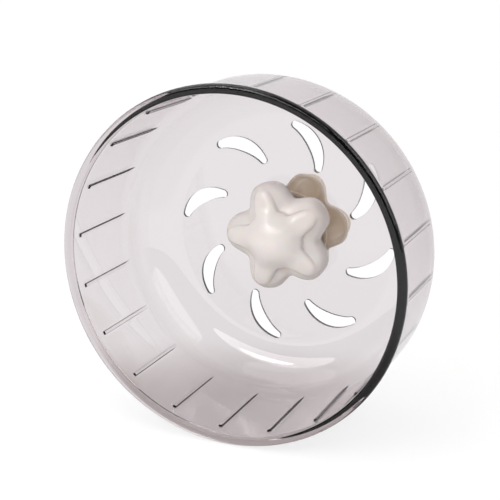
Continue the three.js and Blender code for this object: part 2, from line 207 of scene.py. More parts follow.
def putOut(tree, given, result, patches, edges, drift, height):  # the outputs that each skin has
    colour = mixColours(tree, ramp(tree, patches, edges), given["Colour"], given["Second Colour"])
    swing = mathNode(tree, "SUBTRACT", drift, 0.5)
    rough = mathNode(tree, "MULTIPLY_ADD", swing, given["Roughness Spread"], given["Roughness"])
    for value, label in ((colour, "Colour"), (rough, "Roughness"), (height, "Height")):
        tree.links.new(value, result[label])
    return tree


def mouldedSkinGroup():  # slow drift of colour and gloss over a fine spark-eroded skin
    tree, given, result = newSkin("mouldedSkin")
    place = addNode(tree, "ShaderNodeTexCoord").outputs["Object"]
    patches = noiseNode(tree, place, given["Patch Scale"])
    grain = noiseNode(tree, place, given["Grain Scale"], 3.0, 0.6)
    return putOut(tree, given, result, patches, (0.35, 0.65), patches, grain)


def turnedMarksGroup():  # fine rings round the axle, as a lathe leaves, under a thin blotchy plating
    tree, given, result = newSkin("turnedMarks")
    place = addNode(tree, "ShaderNodeTexCoord").outputs["Object"]
    split = addNode(tree, "ShaderNodeSeparateXYZ", {0: place}).outputs
    flat = addNode(tree, "ShaderNodeCombineXYZ", {"X": split["X"], "Z": split["Z"]})
    reach = addNode(tree, "ShaderNodeVectorMath", {0: flat.outputs[0]}, operation="LENGTH")
    across = addNode(tree, "ShaderNodeCombineXYZ", {"X": reach.outputs["Value"], "Y": split["Y"]})
    patches = noiseNode(tree, place, given["Patch Scale"])
    rings = noiseNode(tree, across.outputs[0], given["Grain Scale"])
    return putOut(tree, given, result, patches, (0.4, 0.7), rings, rings)


mouldedSkin = mouldedSkinGroup()
turnedMarks = turnedMarksGroup()


def makeFinish(name, group, surface, bump, sockets):  # bump is (strength, distance in mm)
    material = bpy.data.materials.new(name)
    material.use_nodes = True
    tree = material.node_tree
    skin = addNode(tree, "ShaderNodeGroup", surface, node_tree=group).outputs
    relief = {"Strength": bump[0], "Distance": bump[1] * mm, "Height": skin["Height"]}
    relief = addNode(tree, "ShaderNodeBump", relief).outputs["Normal"]
    fill(tree, tree.nodes["Principled BSDF"], {
        "Base Color": skin["Colour"], "Roughness": skin["Roughness"], "Normal": relief, **sockets,
    })
    material.diffuse_color = surface["Colour"]
    return material


finishValues = {
    "clearTint": (mouldedSkin, {
        "Colour": (0.895, 0.873, 0.880, 1), "Second Colour": (0.889, 0.870, 0.878, 1), "Patch Scale": 22.0,
        "Grain Scale": 60.0, "Roughness": 0.03, "Roughness Spread": 0.02,
    }, (0.05, 0.02), {"Transmission Weight": 1.0, "IOR": 1.5}),
    "creamPlastic": (mouldedSkin, {
        "Colour": srgb(234, 227, 223), "Second Colour": srgb(232, 224, 219), "Patch Scale": 45.0,
        "Grain Scale": 1500.0, "Roughness": 0.24, "Roughness Spread": 0.05,
    }, (0.12, 0.03), {
        "IOR": 1.46, "Subsurface Weight": 0.5, "Subsurface Radius": (1, 0.7, 0.5), "Subsurface Scale": 0.003,
        "Coat Weight": 0.3, "Coat Roughness": 0.12,
    }),
    # The same cream plastic as creamPlastic, partly its own colour and partly a painted warm tan that stands
    # in for the shade on the clamp knob and hub flange, with more light through it
    "shadeWarmedCream": (mouldedSkin, {
        "Colour": srgb(255, 222, 195), "Second Colour": srgb(253, 218, 189), "Patch Scale": 45.0,
        "Grain Scale": 1500.0, "Roughness": 0.42, "Roughness Spread": 0.06,
    }, (0.12, 0.03), {
        "IOR": 1.46, "Subsurface Weight": 0.88, "Subsurface Radius": (1, 1, 1), "Subsurface Scale": 0.009,
    }),
    "zincSteel": (turnedMarks, {
        "Colour": srgb(196, 200, 205), "Second Colour": srgb(176, 178, 184), "Patch Scale": 260.0,
        "Grain Scale": 5200.0, "Roughness": 0.3, "Roughness Spread": 0.18,
    }, (0.15, 0.02), {"Metallic": 1.0}),
    "ballSteel": (turnedMarks, {
        "Colour": srgb(214, 216, 220), "Second Colour": srgb(203, 206, 211), "Patch Scale": 500.0,
        "Grain Scale": 9000.0, "Roughness": 0.12, "Roughness Spread": 0.06,
    }, (0.03, 0.01), {"Metallic": 1.0}),
    "brass": (turnedMarks, {
        "Colour": srgb(205, 170, 98), "Second Colour": srgb(186, 150, 82), "Patch Scale": 260.0,
        "Grain Scale": 5200.0, "Roughness": 0.32, "Roughness Spread": 0.15,
    }, (0.15, 0.02), {"Metallic": 1.0}),
    "cageNylon": (mouldedSkin, {
        "Colour": srgb(72, 88, 74), "Second Colour": srgb(64, 80, 68), "Patch Scale": 300.0,
        "Grain Scale": 3000.0, "Roughness": 0.5, "Roughness Spread": 0.1,
    }, (0.12, 0.02), {"IOR": 1.53}),
}
finishes = {name: makeFinish(name, *values) for name, values in finishValues.items()}
# What the clear plastic takes up on the way through, per metre
clearDepth = {"Color": (0.204, 0.045, 0.086, 1), "Density": 65.0}
clearTree = finishes["clearTint"].node_tree
takenUp = addNode(clearTree, "ShaderNodeVolumeAbsorption", clearDepth)
clearTree.links.new(takenUp.outputs["Volume"], clearTree.nodes["Material Output"].inputs["Volume"])
print("finishes made")

members = frame["record"]["behaviour"]["bodies"]
bodyOf = {node: body for body, names in members.items() for node in names}


def settle(piece, finish, *replaced):  # the piece stands for these nodes and moves with their body
    piece.data.materials.clear()
    piece.data.materials.append(finishes[finish])
    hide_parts(*replaced)
    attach(piece, bodyOf[replaced[0]])
    return piece


# Geometry Nodes trees

def newGeometryTree(name, inputs):
    shared = ("Geometry", "NodeSocketGeometry")
    inputs = [shared + (None,)] + inputs + [("Material", "NodeSocketMaterial", None)]
    return newTree("GeometryNodeTree", name, inputs, [shared])


def endTree(tree, given, result, geometry):
    real = addNode(tree, "GeometryNodeRealizeInstances", {0: geometry}).outputs[0]
    paint = addNode(tree, "GeometryNodeSetMaterial", {"Geometry": real, "Material": given["Material"]})
    tree.links.new(paint.outputs[0], result[0])
    return tree


def useTree(piece, tree, values):
    modifier = piece.modifiers.new(tree.name, "NODES")
    modifier.node_group = tree
    socketIds = {item.name: item.identifier for item in tree.interface.items_tree if item.in_out == "INPUT"}
    for label, value in values.items():
        modifier[socketIds[label]] = value
    return bake(piece)


def aroundAxleTree():  # copies of a piece turned round the axle
    tree, given, result = newGeometryTree("aroundAxle", [
        ("Count", "NodeSocketInt", 8),
        ("Phase", "NodeSocketFloat", 0.0),
    ])
    points = addNode(tree, "GeometryNodePoints", {"Count": given["Count"]})
    index = addNode(tree, "GeometryNodeInputIndex").outputs[0]
    step = mathNode(tree, "DIVIDE", -fullTurn, given["Count"])
    start = mathNode(tree, "MULTIPLY", given["Phase"], -1.0)
    turn = addNode(tree, "ShaderNodeCombineXYZ", {"Y": mathNode(tree, "MULTIPLY_ADD", index, step, start)})
    copies = addNode(tree, "GeometryNodeInstanceOnPoints", {
        "Points": points.outputs[0], "Instance": given["Geometry"], "Rotation": turn.outputs[0],
    })
    return endTree(tree, given, result, copies.outputs[0])


mergeDistance = 0.0005 * mm
profileFields = ("lobeRadius", "valleyRadius", "lobeDepth", "valleyDepth", "square", "fullness")


def lobedShellTree():  # turns a row of points round the axle, swelling it into lobes
    tree, given, result = newGeometryTree("lobedShell", [
        ("Lobes", "NodeSocketInt", 5),
        ("Facets", "NodeSocketInt", 120),
        ("Phase", "NodeSocketFloat", 0.0),
    ])

    def calc(operation, *inputs):
        return mathNode(tree, operation, *inputs)

    size = addNode(tree, "GeometryNodeAttributeDomainSize", {0: given["Geometry"]}, component="MESH")
    rows = size.outputs["Point Count"]
    grid = addNode(tree, "GeometryNodeMeshGrid", {
        "Size X": 1.0, "Size Y": 1.0, "Vertices X": calc("ADD", given["Facets"], 1.0), "Vertices Y": rows,
    })
    place = addNode(tree, "GeometryNodeInputPosition").outputs[0]
    place = addNode(tree, "ShaderNodeSeparateXYZ", {0: place}).outputs
    turn = calc("MULTIPLY", calc("ADD", place["X"], 0.5), fullTurn)
    lastRow = calc("SUBTRACT", rows, 1.0)
    row = calc("ROUND", calc("MULTIPLY", calc("ADD", place["Y"], 0.5), lastRow))
    field = {}
    for name in profileFields:
        named = addNode(tree, "GeometryNodeInputNamedAttribute", {"Name": name}, data_type="FLOAT")
        sample = addNode(tree, "GeometryNodeSampleIndex", {
            "Geometry": given["Geometry"], "Value": named.outputs["Attribute"], "Index": row,
        }, data_type="FLOAT", domain="POINT")
        field[name] = sample.outputs[0]
    lobeTurn = calc("MULTIPLY", turn, given["Lobes"])
    wave = calc("COSINE", lobeTurn)
    doubled = calc("COSINE", calc("MULTIPLY", lobeTurn, 2.0))
    squared = calc("MULTIPLY", calc("SUBTRACT", doubled, 1.0), field["square"])
    nearTip = calc("POWER", calc("MULTIPLY_ADD", wave, 0.5, 0.5), 3.0)
    shoulders = calc("MULTIPLY", nearTip, calc("SUBTRACT", 1.0, wave))
    share = calc("MULTIPLY_ADD", shoulders, field["fullness"], calc("ADD", wave, squared))

    def between(lobe, valley, share):
        half = calc("MULTIPLY", calc("ADD", field[lobe], field[valley]), 0.5)
        swing = calc("MULTIPLY", calc("SUBTRACT", field[lobe], field[valley]), 0.5)
        return calc("MULTIPLY_ADD", swing, share, half)

    radius = between("lobeRadius", "valleyRadius", share)
    angle = calc("SUBTRACT", given["Phase"], turn)
    spot = addNode(tree, "ShaderNodeCombineXYZ", {
        "X": calc("MULTIPLY", radius, calc("COSINE", angle)),
        "Y": between("lobeDepth", "valleyDepth", wave),
        "Z": calc("MULTIPLY", radius, calc("SINE", angle)),
    })
    shaped = {"Geometry": grid.outputs["Mesh"], "Position": spot.outputs[0]}
    shaped = addNode(tree, "GeometryNodeSetPosition", shaped).outputs[0]
    closed = {"Geometry": shaped, "Distance": mergeDistance}
    closed = addNode(tree, "GeometryNodeMergeByDistance", closed).outputs[0]
    return endTree(tree, given, result, closed)


aroundAxle = aroundAxleTree()
lobedShell = lobedShellTree()


def combine(piece, other, operation):  # UNION or DIFFERENCE; the other object is used up
    boolean = piece.modifiers.new("combine", "BOOLEAN")
    boolean.operation = operation
    boolean.solver = "EXACT"
    boolean.object = other
    bake(piece)
    bpy.data.objects.remove(other)
    return piece


def smoothAll(piece, sharpAngle):
    piece.data.shade_smooth()
    piece.data.set_sharp_from_angle(angle=math.radians(sharpAngle))
    return piece


# Drum
drum = {
    "rimRadius": (drumHigh[0] - drumLow[0]) / 2 / mm - 0.02,
    "depth": (drumHigh[1] - drumLow[1]) / mm,
    "beadStep": 2.0,
    "beadDepth": 4.8,
    "beadRound": 0.9,
    "noseSquare": (3.5, 2.2),  # on the inside and the outside; 2 is a half circle
    "noseSteps": 40,
    "barrelWall": 2.5,
    "backWall": 2.4,
    "cornerRadius": 25.0,
    "boreRadius": 11.9,
    "edgeRound": 0.3,
    "treadCount": 20,
    "treadPhase": math.radians(13.4),
    "treadHeight": 1.0,
    "treadStart": 8.1,
    "treadFadeFrom": 46.0,
    "treadEnd": 53.5,
    "cornerSteps": 36,
    "barrelRows": (8, 14, 22, 30, 38, 45),
    "wallRows": (50, 40, 30, 20),
    "treadRows": (40, 32, 24, 16),
    "treadFrontRows": (1.2, 0.5, 0.24, 0.1, 0.03, 0, -0.1, -1),  # behind the start of the treads
    "plainColumns": 14,  # between two treads
}
# A tread's height as a share: over mm from its middle line, and over mm behind its square front end
treadSection = [(0, 1), (0.5, 0.99), (0.68, 0.93), (0.8, 0.78), (0.85, 0.5), (0.89, 0.2), (0.98, 0.05),
                (1.15, 0)]
treadFront = [(0, 0.25), (0.03, 0.6), (0.1, 0.82), (0.24, 0.95)]
sameRow = 0.005  # mm between depths that count as one


def drumProfile():
    rim = drum["rimRadius"]
    nose = (drum["beadStep"] + drum["barrelWall"]) / 2
    barrel = rim - drum["beadStep"]
    inner = barrel - drum["barrelWall"]
    wallFront = drum["depth"] - drum["backWall"]
    corner = (inner - drum["cornerRadius"], wallFront - drum["cornerRadius"])
    bead = drum["beadRound"]
    edge = drum["edgeRound"]
    outside = []
    steps = drum["noseSteps"]
    for i in range(steps + 1):
        turn = math.pi * (1 + i / steps)
        across, along = math.cos(turn), math.sin(turn)
        power = 2 / drum["noseSquare"][i > steps / 2]
        outside.append((rim - nose + nose * math.copysign(abs(across) ** power, across),
                        nose * (1 - abs(along) ** power)))
    outside += arc((rim - bead, drum["beadDepth"] - bead), bead, 0, 90, 6)
    outside += arc((barrel + edge, drum["beadDepth"] + edge), edge, 270, 180, 4)
    outside += [(barrel, depth) for depth in drum["barrelRows"]]
    outside += arc(corner, drum["cornerRadius"] + drum["barrelWall"], 0, 90, drum["cornerSteps"],
                   drum["cornerRadius"] + drum["backWall"])
    outside += [(radius, drum["depth"]) for radius in drum["wallRows"]]
    bore = drum["boreRadius"]
    outside += arc((bore + edge, drum["depth"] - edge), edge, 90, 180, 3)
    inside = arc((bore + edge, wallFront + edge), edge, 180, 270, 3)
    inside += [(radius, wallFront) for radius in drum["wallRows"][::-1]]
    inside += arc(corner, drum["cornerRadius"], 90, 0, drum["cornerSteps"])
    inside += [(inner, depth) for depth in (drum["treadFadeFrom"],) + drum["treadRows"]]
    inside += [(inner, drum["treadStart"] + step) for step in drum["treadFrontRows"]]
    return outside + inside, len(outside), inner, corner


def makeDrumShell():
    profile, insideFrom, inner, corner = drumProfile()
    top = inner - drum["treadHeight"]
    endRadius = corner[0] + math.sqrt(drum["cornerRadius"] ** 2 - (drum["treadEnd"] - corner[1]) ** 2)
    start = drum["treadStart"]
    sector = fullTurn / drum["treadCount"]
    offsets = [-d / inner for d, _ in treadSection[:0:-1]] + [d / inner for d, _ in treadSection]
    heights = [h for _, h in treadSection[:0:-1]] + [h for _, h in treadSection]
    gap = sector - 2 * offsets[-1]
    plain = [offsets[-1] + gap * i / drum["plainColumns"] for i in range(1, drum["plainColumns"])]
    angles = []
    share = {}
    for centre in evenTurns(drum["treadCount"], drum["treadPhase"]):
        for offset, height in zip(offsets + plain, heights + [0] * len(plain)):
            angles.append(centre + offset)
            share[centre + offset] = height

    def treadTop(depth):
        if depth <= drum["treadFadeFrom"]:
            return top
        along = (depth - drum["treadFadeFrom"]) / (drum["treadEnd"] - drum["treadFadeFrom"])
        return top + (endRadius - top) * along

    def radiusAt(row, radius, depth, angle):
        if row < insideFrom or depth < start - sameRow or depth > drum["treadEnd"]:
            return radius
        rise = max(radius - treadTop(depth), 0) * share[angle]
        for step, part in treadFront:
            if abs(depth - start - step) < sameRow:
                rise *= part
        return radius - rise

    return revolve(profile, angles, radiusAt)


# Crescent vents through the back wall: a bent spine with a width that narrows to both ends
vents = {
    "count": 8,
    "phase": math.radians(29.3),
    "spineRadius": 20.3,
    "spineRise": 34.3,
    "spineShift": 13.2,
    "sweep": (math.radians(9.5), math.radians(83)),
    "middleWidth": 7.0,
    "endWidth": 3.9,
    "edgeRound": 0.35,
    "steps": 28,
    "tipSteps": 14,
}


def ventOutline(grow):  # (across, up) points of one crescent, grown by some mm
    middle = sum(vents["sweep"]) / 2
    half = (vents["sweep"][1] - vents["sweep"][0]) / 2

    def edge(share, side):
        bulge = (vents["middleWidth"] - vents["endWidth"]) * math.cos(share * math.pi / 2)
        radius = vents["spineRadius"] + side * ((vents["endWidth"] + bulge) / 2 + grow)
        return radius, middle + share * half

    def tip(share):
        turn = middle + share * half
        start = turn if share > 0 else turn + math.pi
        reach = vents["endWidth"] / 2 + grow
        end = (vents["spineRadius"] * math.cos(turn), vents["spineRadius"] * math.sin(turn))
        return arc(end, reach, math.degrees(start), math.degrees(start) + 180, vents["tipSteps"])[1:-1]

    shares = [2 * i / vents["steps"] - 1 for i in range(vents["steps"] + 1)]
    outer = [edge(share, 1) for share in shares]
    inner = [edge(-share, -1) for share in shares]
    points = [(r * math.cos(t), r * math.sin(t)) for r, t in outer] + tip(1)
    points += [(r * math.cos(t), r * math.sin(t)) for r, t in inner] + tip(-1)
    return [(x - vents["spineShift"], z + vents["spineRise"]) for x, z in points]


def makeVentCutter():  # upright above the axle, flared at both faces of the wall
    back = drum["depth"]
    front = back - drum["backWall"]
    edge = vents["edgeRound"]
    # Way into the wall and growth there
    flare = [(-1, edge * 2.2), (-0.02, edge), (edge * 0.35, edge * 0.35), (edge, 0)]
    stations = [(front + into, grow) for into, grow in flare]
    stations += [(back - into, grow) for into, grow in flare[::-1]]
    bm = bmesh.new()
    loops = []
    for depth, grow in stations:
        loops.append([bm.verts.new((x * mm, rimPlane + depth * mm, z * mm)) for x, z in ventOutline(grow)])
    for low, high in zip(loops, loops[1:]):
        for i in range(len(low)):
            bm.faces.new([low[i - 1], low[i], high[i], high[i - 1]])
    bm.faces.new(loops[0])
    bm.faces.new(loops[-1])
    bmesh.ops.recalc_face_normals(bm, faces=bm.faces)
    return link("ventCutter", finishMesh("ventCutter", bm))


# Stars: the hub cap in front of the back wall, and the clamp knob behind it
stars = {
    "lobes": 5,
    "facets": 160,
    "lobeRadius": 28.0,
    "valleyRadius": 20.9,
    "creaseLobe": 26.0,
    "creaseValley": 14.6,
    "widestHeightShare": 0.244,
    "creaseHeightShare": 0.55,
    "widestSquare": -0.224,
    "creaseSquare": 0.3,
    "creaseFullness": 1.6,
    "shoulderTilt": math.radians(12),
    "crownSteps": 5,  # between two rows of middleShares
    "shoulderSteps": 14,
    "skirtShares": (0.2, 0.4, 0.6, 0.8, 0.93),
    "hollowSteps": 4,
    "creaseSoftness": 10,  # rounds of smoothing
    "foldRows": (-7, 5),  # the rows that they smooth, counted from the crease
    "lip": 0.35,  # the turned edge of the moulding
    "lipHeight": 0.05,
    "sharpAngle": 50,
}
cap = {"edge": 73.8, "depth": 23.8, "wall": 2.2, "tuck": 1.6, "draft": 0.0, "phase": math.radians(35.8),
       "side": -1, "bossRadius": 3.2, "bossHeight": 13.9, "holeRadius": 1.8, "holeHeight": 7.4,
       "screwCircle": 17.6}
knob = {"edge": 90.8, "depth": 18.5, "wall": 2.0, "tuck": 0.0, "draft": 1.5, "phase": math.radians(3.4),
        "side": 1, "bossRadius": 7.6, "bossFront": 91.8, "nutBack": 97.6, "holeRadius": 3.0,
        "holeBack": 107.0}
screwSpots = {"Count": stars["lobes"], "Phase": cap["phase"]}
# From the crown to the crease: height, lobe radius and valley radius, as shares
middleShares = [(1, 0, 0), (0.94, 0.17, 0.3), (0.8, 0.33, 0.55), (0.62, 0.46, 0.74), (0.45, 0.58, 0.88),
                (0.35, 0.69, 0.95), (0.275, 0.815, 0.985), (0.175, 0.92, 1.005), (0.07, 0.98, 1.015),
                (0, 1, 1.03)]
beyondCrown, beyondCrease = (0.94, -0.17, -0.3), (0.07, 1.04, 1.08)
hollowShares = [middleShares[0], middleShares[2], middleShares[4]]


def smoothRows(rows, steps):  # Catmull-Rom through rows of numbers, less the first and last
    out = []
    for p0, p1, p2, p3 in zip(rows, rows[1:], rows[2:], rows[3:]):
        for i in range(steps):
            t = i / steps
            out.append([
                0.5 * (2 * b + (c - a) * t + (2 * a - 5 * b + 4 * c - d) * t * t
                       + (3 * b - a - 3 * c + d) * t ** 3)
                for a, b, c, d in zip(p0, p1, p2, p3)
            ])
    return out + [list(rows[-2])]


def onwards(rows):  # the row that would come next in a straight line
    return [2 * a - b for a, b in zip(rows[-1], rows[-2])]


def starRows(star, hollow=False):  # (lobe radius, valley radius, height, square, fullness), crown to edge
    crease = star["depth"] * stars["creaseHeightShare"]
    widest = star["depth"] * stars["widestHeightShare"]
    steps = 2 if hollow else stars["shoulderSteps"]
    middle = hollowShares
    if not hollow:
        middle = smoothRows([beyondCrown] + middleShares + [beyondCrease], stars["crownSteps"])
    rows = [(stars["creaseLobe"] * lobe, stars["creaseValley"] * valley,
             crease + (star["depth"] - crease) * height,
             stars["creaseSquare"] * max(lobe, 0), stars["creaseFullness"] * max(lobe, 0))
            for height, lobe, valley in middle]
    creaseValley = stars["creaseValley"] * middleShares[-1][2]
    tilt = stars["shoulderTilt"]
    for i in range(0 if hollow else 1, steps + 1):
        turn = tilt + (math.pi / 2 - tilt) * i / steps
        out = (math.sin(turn) - math.sin(tilt)) / (1 - math.sin(tilt))
        rows.append((stars["creaseLobe"] + (stars["lobeRadius"] - star["draft"] - stars["creaseLobe"]) * out,
                     creaseValley + (stars["valleyRadius"] - star["draft"] - creaseValley) * out,
                     widest + (crease - widest) * math.cos(turn) / math.cos(tilt),
                     stars["creaseSquare"] + (stars["widestSquare"] - stars["creaseSquare"]) * out,
                     stars["creaseFullness"] * (1 - out)))
    fold = range(*(len(middle) + end for end in stars["foldRows"]))
    for _ in range(0 if hollow else stars["creaseSoftness"]):
        softer = [tuple((a + 2 * b + c) / 4 for a, b, c in zip(*rows[i - 1:i + 2])) for i in fold]
        rows[fold.start:fold.stop] = softer
    for share in ((1,) if hollow else stars["skirtShares"]):
        drawn = star["tuck"] * share ** 2 + star["draft"] * (1 - share)
        rows.append((stars["lobeRadius"] - drawn, stars["valleyRadius"] - drawn, widest * (1 - share),
                     stars["widestSquare"], 0))
    return rows


def insetRows(rows, wall):  # the same rows moved inwards, over a lobe and over a valley
    out = []
    for i, (lobe, valley, height, square, fullness) in enumerate(rows):
        first, last = rows[max(i - 1, 0)], rows[min(i + 1, len(rows) - 1)]
        moved = []
        for radius, column in ((lobe, 0), (valley, 1)):
            run, fall = last[column] - first[column], first[2] - last[2]
            length = math.hypot(run, fall)
            if i == 0:
                moved += [0, height - wall]
            elif i == len(rows) - 1:
                moved += [radius - wall, height]
            else:
                moved += [max(radius - wall * fall / length, 0), height - wall * run / length]
        out.append((moved[0], moved[2], moved[1], moved[3], square, fullness))
    return out


def makeStarShell(name, star):
    outside = [row[:3] + row[2:] for row in starRows(star)]  # one height for the lobe and one for the valley
    inner = insetRows(starRows(star, hollow=True), star["wall"])
    inner = [onwards(inner[1::-1])] + inner + [onwards(inner)]
    inside = smoothRows(inner, stars["hollowSteps"])[::-1]
    lip, low = stars["lip"], stars["lipHeight"]
    lobe, valley = outside[-1][:2]
    edge = [(lobe - lip * 0.3, valley - lip * 0.3, low, low, stars["widestSquare"], 0),
            (lobe - lip, valley - lip, 0, 0, stars["widestSquare"], 0)]
    rows = outside + edge + inside
    mesh = bpy.data.meshes.new(name)
    mesh.from_pydata([(0, 0, 0)] * len(rows), [], [])

    def depthOf(height):
        return rimPlane + (star["edge"] + star["side"] * height) * mm

    columns = [(r[0] * mm, r[1] * mm, depthOf(r[2]), depthOf(r[3]), r[4], r[5]) for r in rows]
    for label, values in zip(profileFields, zip(*columns)):
        mesh.attributes.new(label, "FLOAT", "POINT").data.foreach_set("value", values)
    piece = useTree(link(name, mesh), lobedShell, {
        "Lobes": stars["lobes"], "Facets": stars["facets"], "Phase": star["phase"],
    })
    bm = bmesh.new()
    bm.from_mesh(piece.data)
    bmesh.ops.recalc_face_normals(bm, faces=bm.faces)
    bm.to_mesh(piece.data)
    bm.free()
    return piece


def tube(name, radius, low, high, facets=48, centre=(0, 0)):  # a plain cutter or boss along the axle
    bm = revolve([(0, low), (radius, low), (radius, high), (0, high)], evenTurns(facets), closed=False)
    bmesh.ops.translate(bm, verts=bm.verts, vec=(centre[0] * mm, 0, centre[1] * mm))
    return link(name, finishMesh(name, bm, 30))


def atScrews(piece, radius, low, high, operation, facets=24):  # five bosses or holes
    first = tube("first", radius, low, high, facets, (cap["screwCircle"], 0))
    combine(piece, useTree(first, aroundAxle, screwSpots), operation)


def makeFrontStar():
    piece = makeStarShell("hubCap", cap)
    edge = cap["edge"]
    atScrews(piece, cap["bossRadius"], edge - cap["bossHeight"], edge, "UNION", 32)
    atScrews(piece, cap["holeRadius"], edge - cap["holeHeight"], edge + 1, "DIFFERENCE")
    return settle(smoothAll(piece, stars["sharpAngle"]), "creamPlastic", "front_star")


hexagon = {"acrossFlats": 10.0, "chamfer": 0.5, "pocketGap": 0.6}


def hexCorner(acrossFlats):
    return acrossFlats / 2 / math.cos(math.pi / 6)


def makeRearStar():
    piece = makeStarShell("clampKnob", knob)
    crown = knob["edge"] + knob["depth"]
    combine(piece, tube("knobBoss", knob["bossRadius"], knob["bossFront"], crown - knob["wall"] / 2), "UNION")
    before = knob["bossFront"] - 1
    combine(piece, tube("boltHole", knob["holeRadius"], before, knob["holeBack"], 32), "DIFFERENCE")
    pocket = hexCorner(hexagon["acrossFlats"] + hexagon["pocketGap"])
    combine(piece, tube("nutPocket", pocket, before, knob["nutBack"], 6), "DIFFERENCE")
    # The knob takes the cream plastic with its shade painted warm and tan
    return settle(smoothAll(piece, stars["sharpAngle"]), "shadeWarmedCream", "rear_star")


makeFrontStar()
makeRearStar()
print("stars made")


def makeDrum():
    piece = link("clearDrum", finishMesh("clearDrum", makeDrumShell()))
    upright = {"Count": vents["count"], "Phase": vents["phase"] - math.pi / 2}
    combine(piece, useTree(makeVentCutter(), aroundAxle, upright), "DIFFERENCE")
    back = drum["depth"]
    atScrews(piece, cap["holeRadius"], back - drum["backWall"] - 1, back + 1, "DIFFERENCE")
    return settle(smoothAll(piece, 20), "clearTint", "drum")


makeDrum()
print("drum made")


# Hub flange with its sleeve, and the five screws through it
flange = {"radius": 21.2, "front": 76.8, "back": 79.3, "sleeveRadius": 11.6, "bore": 9.8, "sleeveFront": 59.8,
          "shoulder": (66.1, 72.1), "shoulderRadius": 8.3, "edgeRound": 0.8, "smallRound": 0.25, "seat": 79.6,
          "rows": (8, 4, 3)}  # mm from a corner to a plain row, on the sleeve, the front and the back
screw = {"radius": 1.5, "length": 13.0, "headRadius": 2.5, "headHeight": 1.8, "headRound": 0.7, "pitch": 1.05,
         "threadHeight": 0.28, "threadRows": 90, "plainNeck": 0.8, "recessReach": 1.45, "recessWidth": 0.55,
         "recessDepth": 1.1, "recessTaper": 0.55}
screwPoint = [(0, 0), (0.35, 0.1), (0.7, 0.7), (1, 1.4)]  # share of the radius, mm from the tip


def makeFlange():
    low = flange["smallRound"]
    edge = flange["edgeRound"]
    sleeve, bore, radius = flange["sleeveRadius"], flange["bore"], flange["radius"]
    front, back = flange["front"], flange["back"]
    onSleeve, onFront, onBack = flange["rows"]
    profile = arc((bore + low, flange["sleeveFront"] + low), low, 180, 270, 3)
    profile += arc((sleeve - low, flange["sleeveFront"] + low), low, 270, 360, 3)
    profile += [(sleeve, front - onSleeve), (sleeve, front), (radius - onFront, front)]
    profile += arc((radius - low, front + low), low, 270, 360, 3)
    profile += arc((radius - edge, back - edge), edge, 0, 90, 8) + [(sleeve + onBack, back)]
    profile += arc((bore + low, back - low), low, 90, 180, 3)
    profile += [(bore, flange["shoulder"][1]), (flange["shoulderRadius"], flange["shoulder"][1]),
                (flange["shoulderRadius"], flange["shoulder"][0]), (bore, flange["shoulder"][0])]
    piece = link("hubFlange", finishMesh("hubFlange", revolve(profile, evenTurns(120))))
    atScrews(piece, cap["holeRadius"], front - 1, back + 1, "DIFFERENCE")
    # The flange takes the cream plastic with its shade painted warm and tan
    return settle(smoothAll(piece, 40), "shadeWarmedCream", "hub_flange")


crestShare = 0.15  # a thread's flat crest


def threadRadius(major, height, pitch, start, end):  # a right-handed thread between two depths
    def radiusAt(row, radius, depth, angle):
        if radius < major - 0.01 or depth < start or depth > end:
            return radius
        phase = (depth / pitch + angle / fullTurn) % 1
        fade = min((depth - start) / pitch, 1)
        return major - height * fade * max(abs(2 * phase - 1) * (1 + 2 * crestShare) - crestShare, 0)
    return radiusAt


def makeScrews():
    seat, radius, head = flange["seat"], screw["radius"], screw["headRadius"]
    tip = seat - screw["length"]
    top = seat + screw["headHeight"]
    rows = screw["threadRows"]
    point = screwPoint[-1][1]
    profile = [(radius * share, tip + along) for share, along in screwPoint[:-1]]
    profile += [(radius, tip + point + (screw["length"] - point) * i / rows) for i in range(rows)]
    profile += [(radius, seat), (head, seat)]
    turn = screw["headRound"]
    profile += arc((head - turn, top - turn), turn, 0, 90, 6) + [(0, top)]
    neck = seat - screw["plainNeck"]
    thread = threadRadius(radius, screw["threadHeight"], screw["pitch"], tip + point, neck)
    bm = revolve(profile, evenTurns(24), thread, closed=False)
    piece = link("hubScrews", finishMesh("hubScrews", bm, 50))
    arm = (screw["recessReach"], screw["recessWidth"] / 2)
    for across, along in (arm, arm[::-1]):
        bm = bmesh.new()
        bmesh.ops.create_cube(bm, size=2)
        for vert in bm.verts:
            narrow = screw["recessTaper"] if vert.co.y < 0 else 1
            depth = top + vert.co.y * screw["recessDepth"]
            vert.co = Vector((vert.co.x * across * narrow * mm, rimPlane + depth * mm,
                              vert.co.z * along * narrow * mm))
        combine(piece, link("recess", finishMesh("recess", bm)), "DIFFERENCE")
    piece.data.transform(Matrix.Translation((cap["screwCircle"] * mm, 0, 0)))
    useTree(piece, aroundAxle, screwSpots)
    return settle(smoothAll(piece, 40), "zincSteel", *[f"hub_screw_{i + 1}" for i in range(stars["lobes"])])


makeFlange()
makeScrews()
print("flange and screws made")

# Ball bearings, 6 x 19 x 6, shielded on both sides
bearing = {"fronts": {"front": 59.8, "rear": 72.4}, "bore": 3.0, "outside": 9.5, "width": 6.0, "pitch": 6.25,
           "groove": 1.95, "ball": 1.75, "land": 1.352, "shieldStep": 0.702, "shield": 0.25,
           "shieldRound": 0.06, "recess": 0.15, "seatGap": 0.3, "cageGap": 0.403, "cageFront": 2.0,
           "cageRound": 0.15, "pocketGap": 0.12, "balls": 7, "chamfer": 0.25, "facets": 96}


def lathe(name, profile, finish, node, facets=96, radiusAt=None, sharpAngle=35):
    bm = revolve(profile, evenTurns(facets), radiusAt)
    return settle(link(name, finishMesh(name, bm, sharpAngle)), finish, node)


def rounded(innerRadius, outerRadius, front, back, turn):  # a ring's section with turned corners
    corners = ((outerRadius, front, 1, 1), (outerRadius, back, 1, -1), (innerRadius, back, -1, -1),
               (innerRadius, front, -1, 1))
    profile = []
    for i, (radius, depth, out, up) in enumerate(corners):
        centre = (radius - out * turn, depth + up * turn)
        profile += arc(centre, turn, 270 + 90 * i, 360 + 90 * i, 3)
    return profile


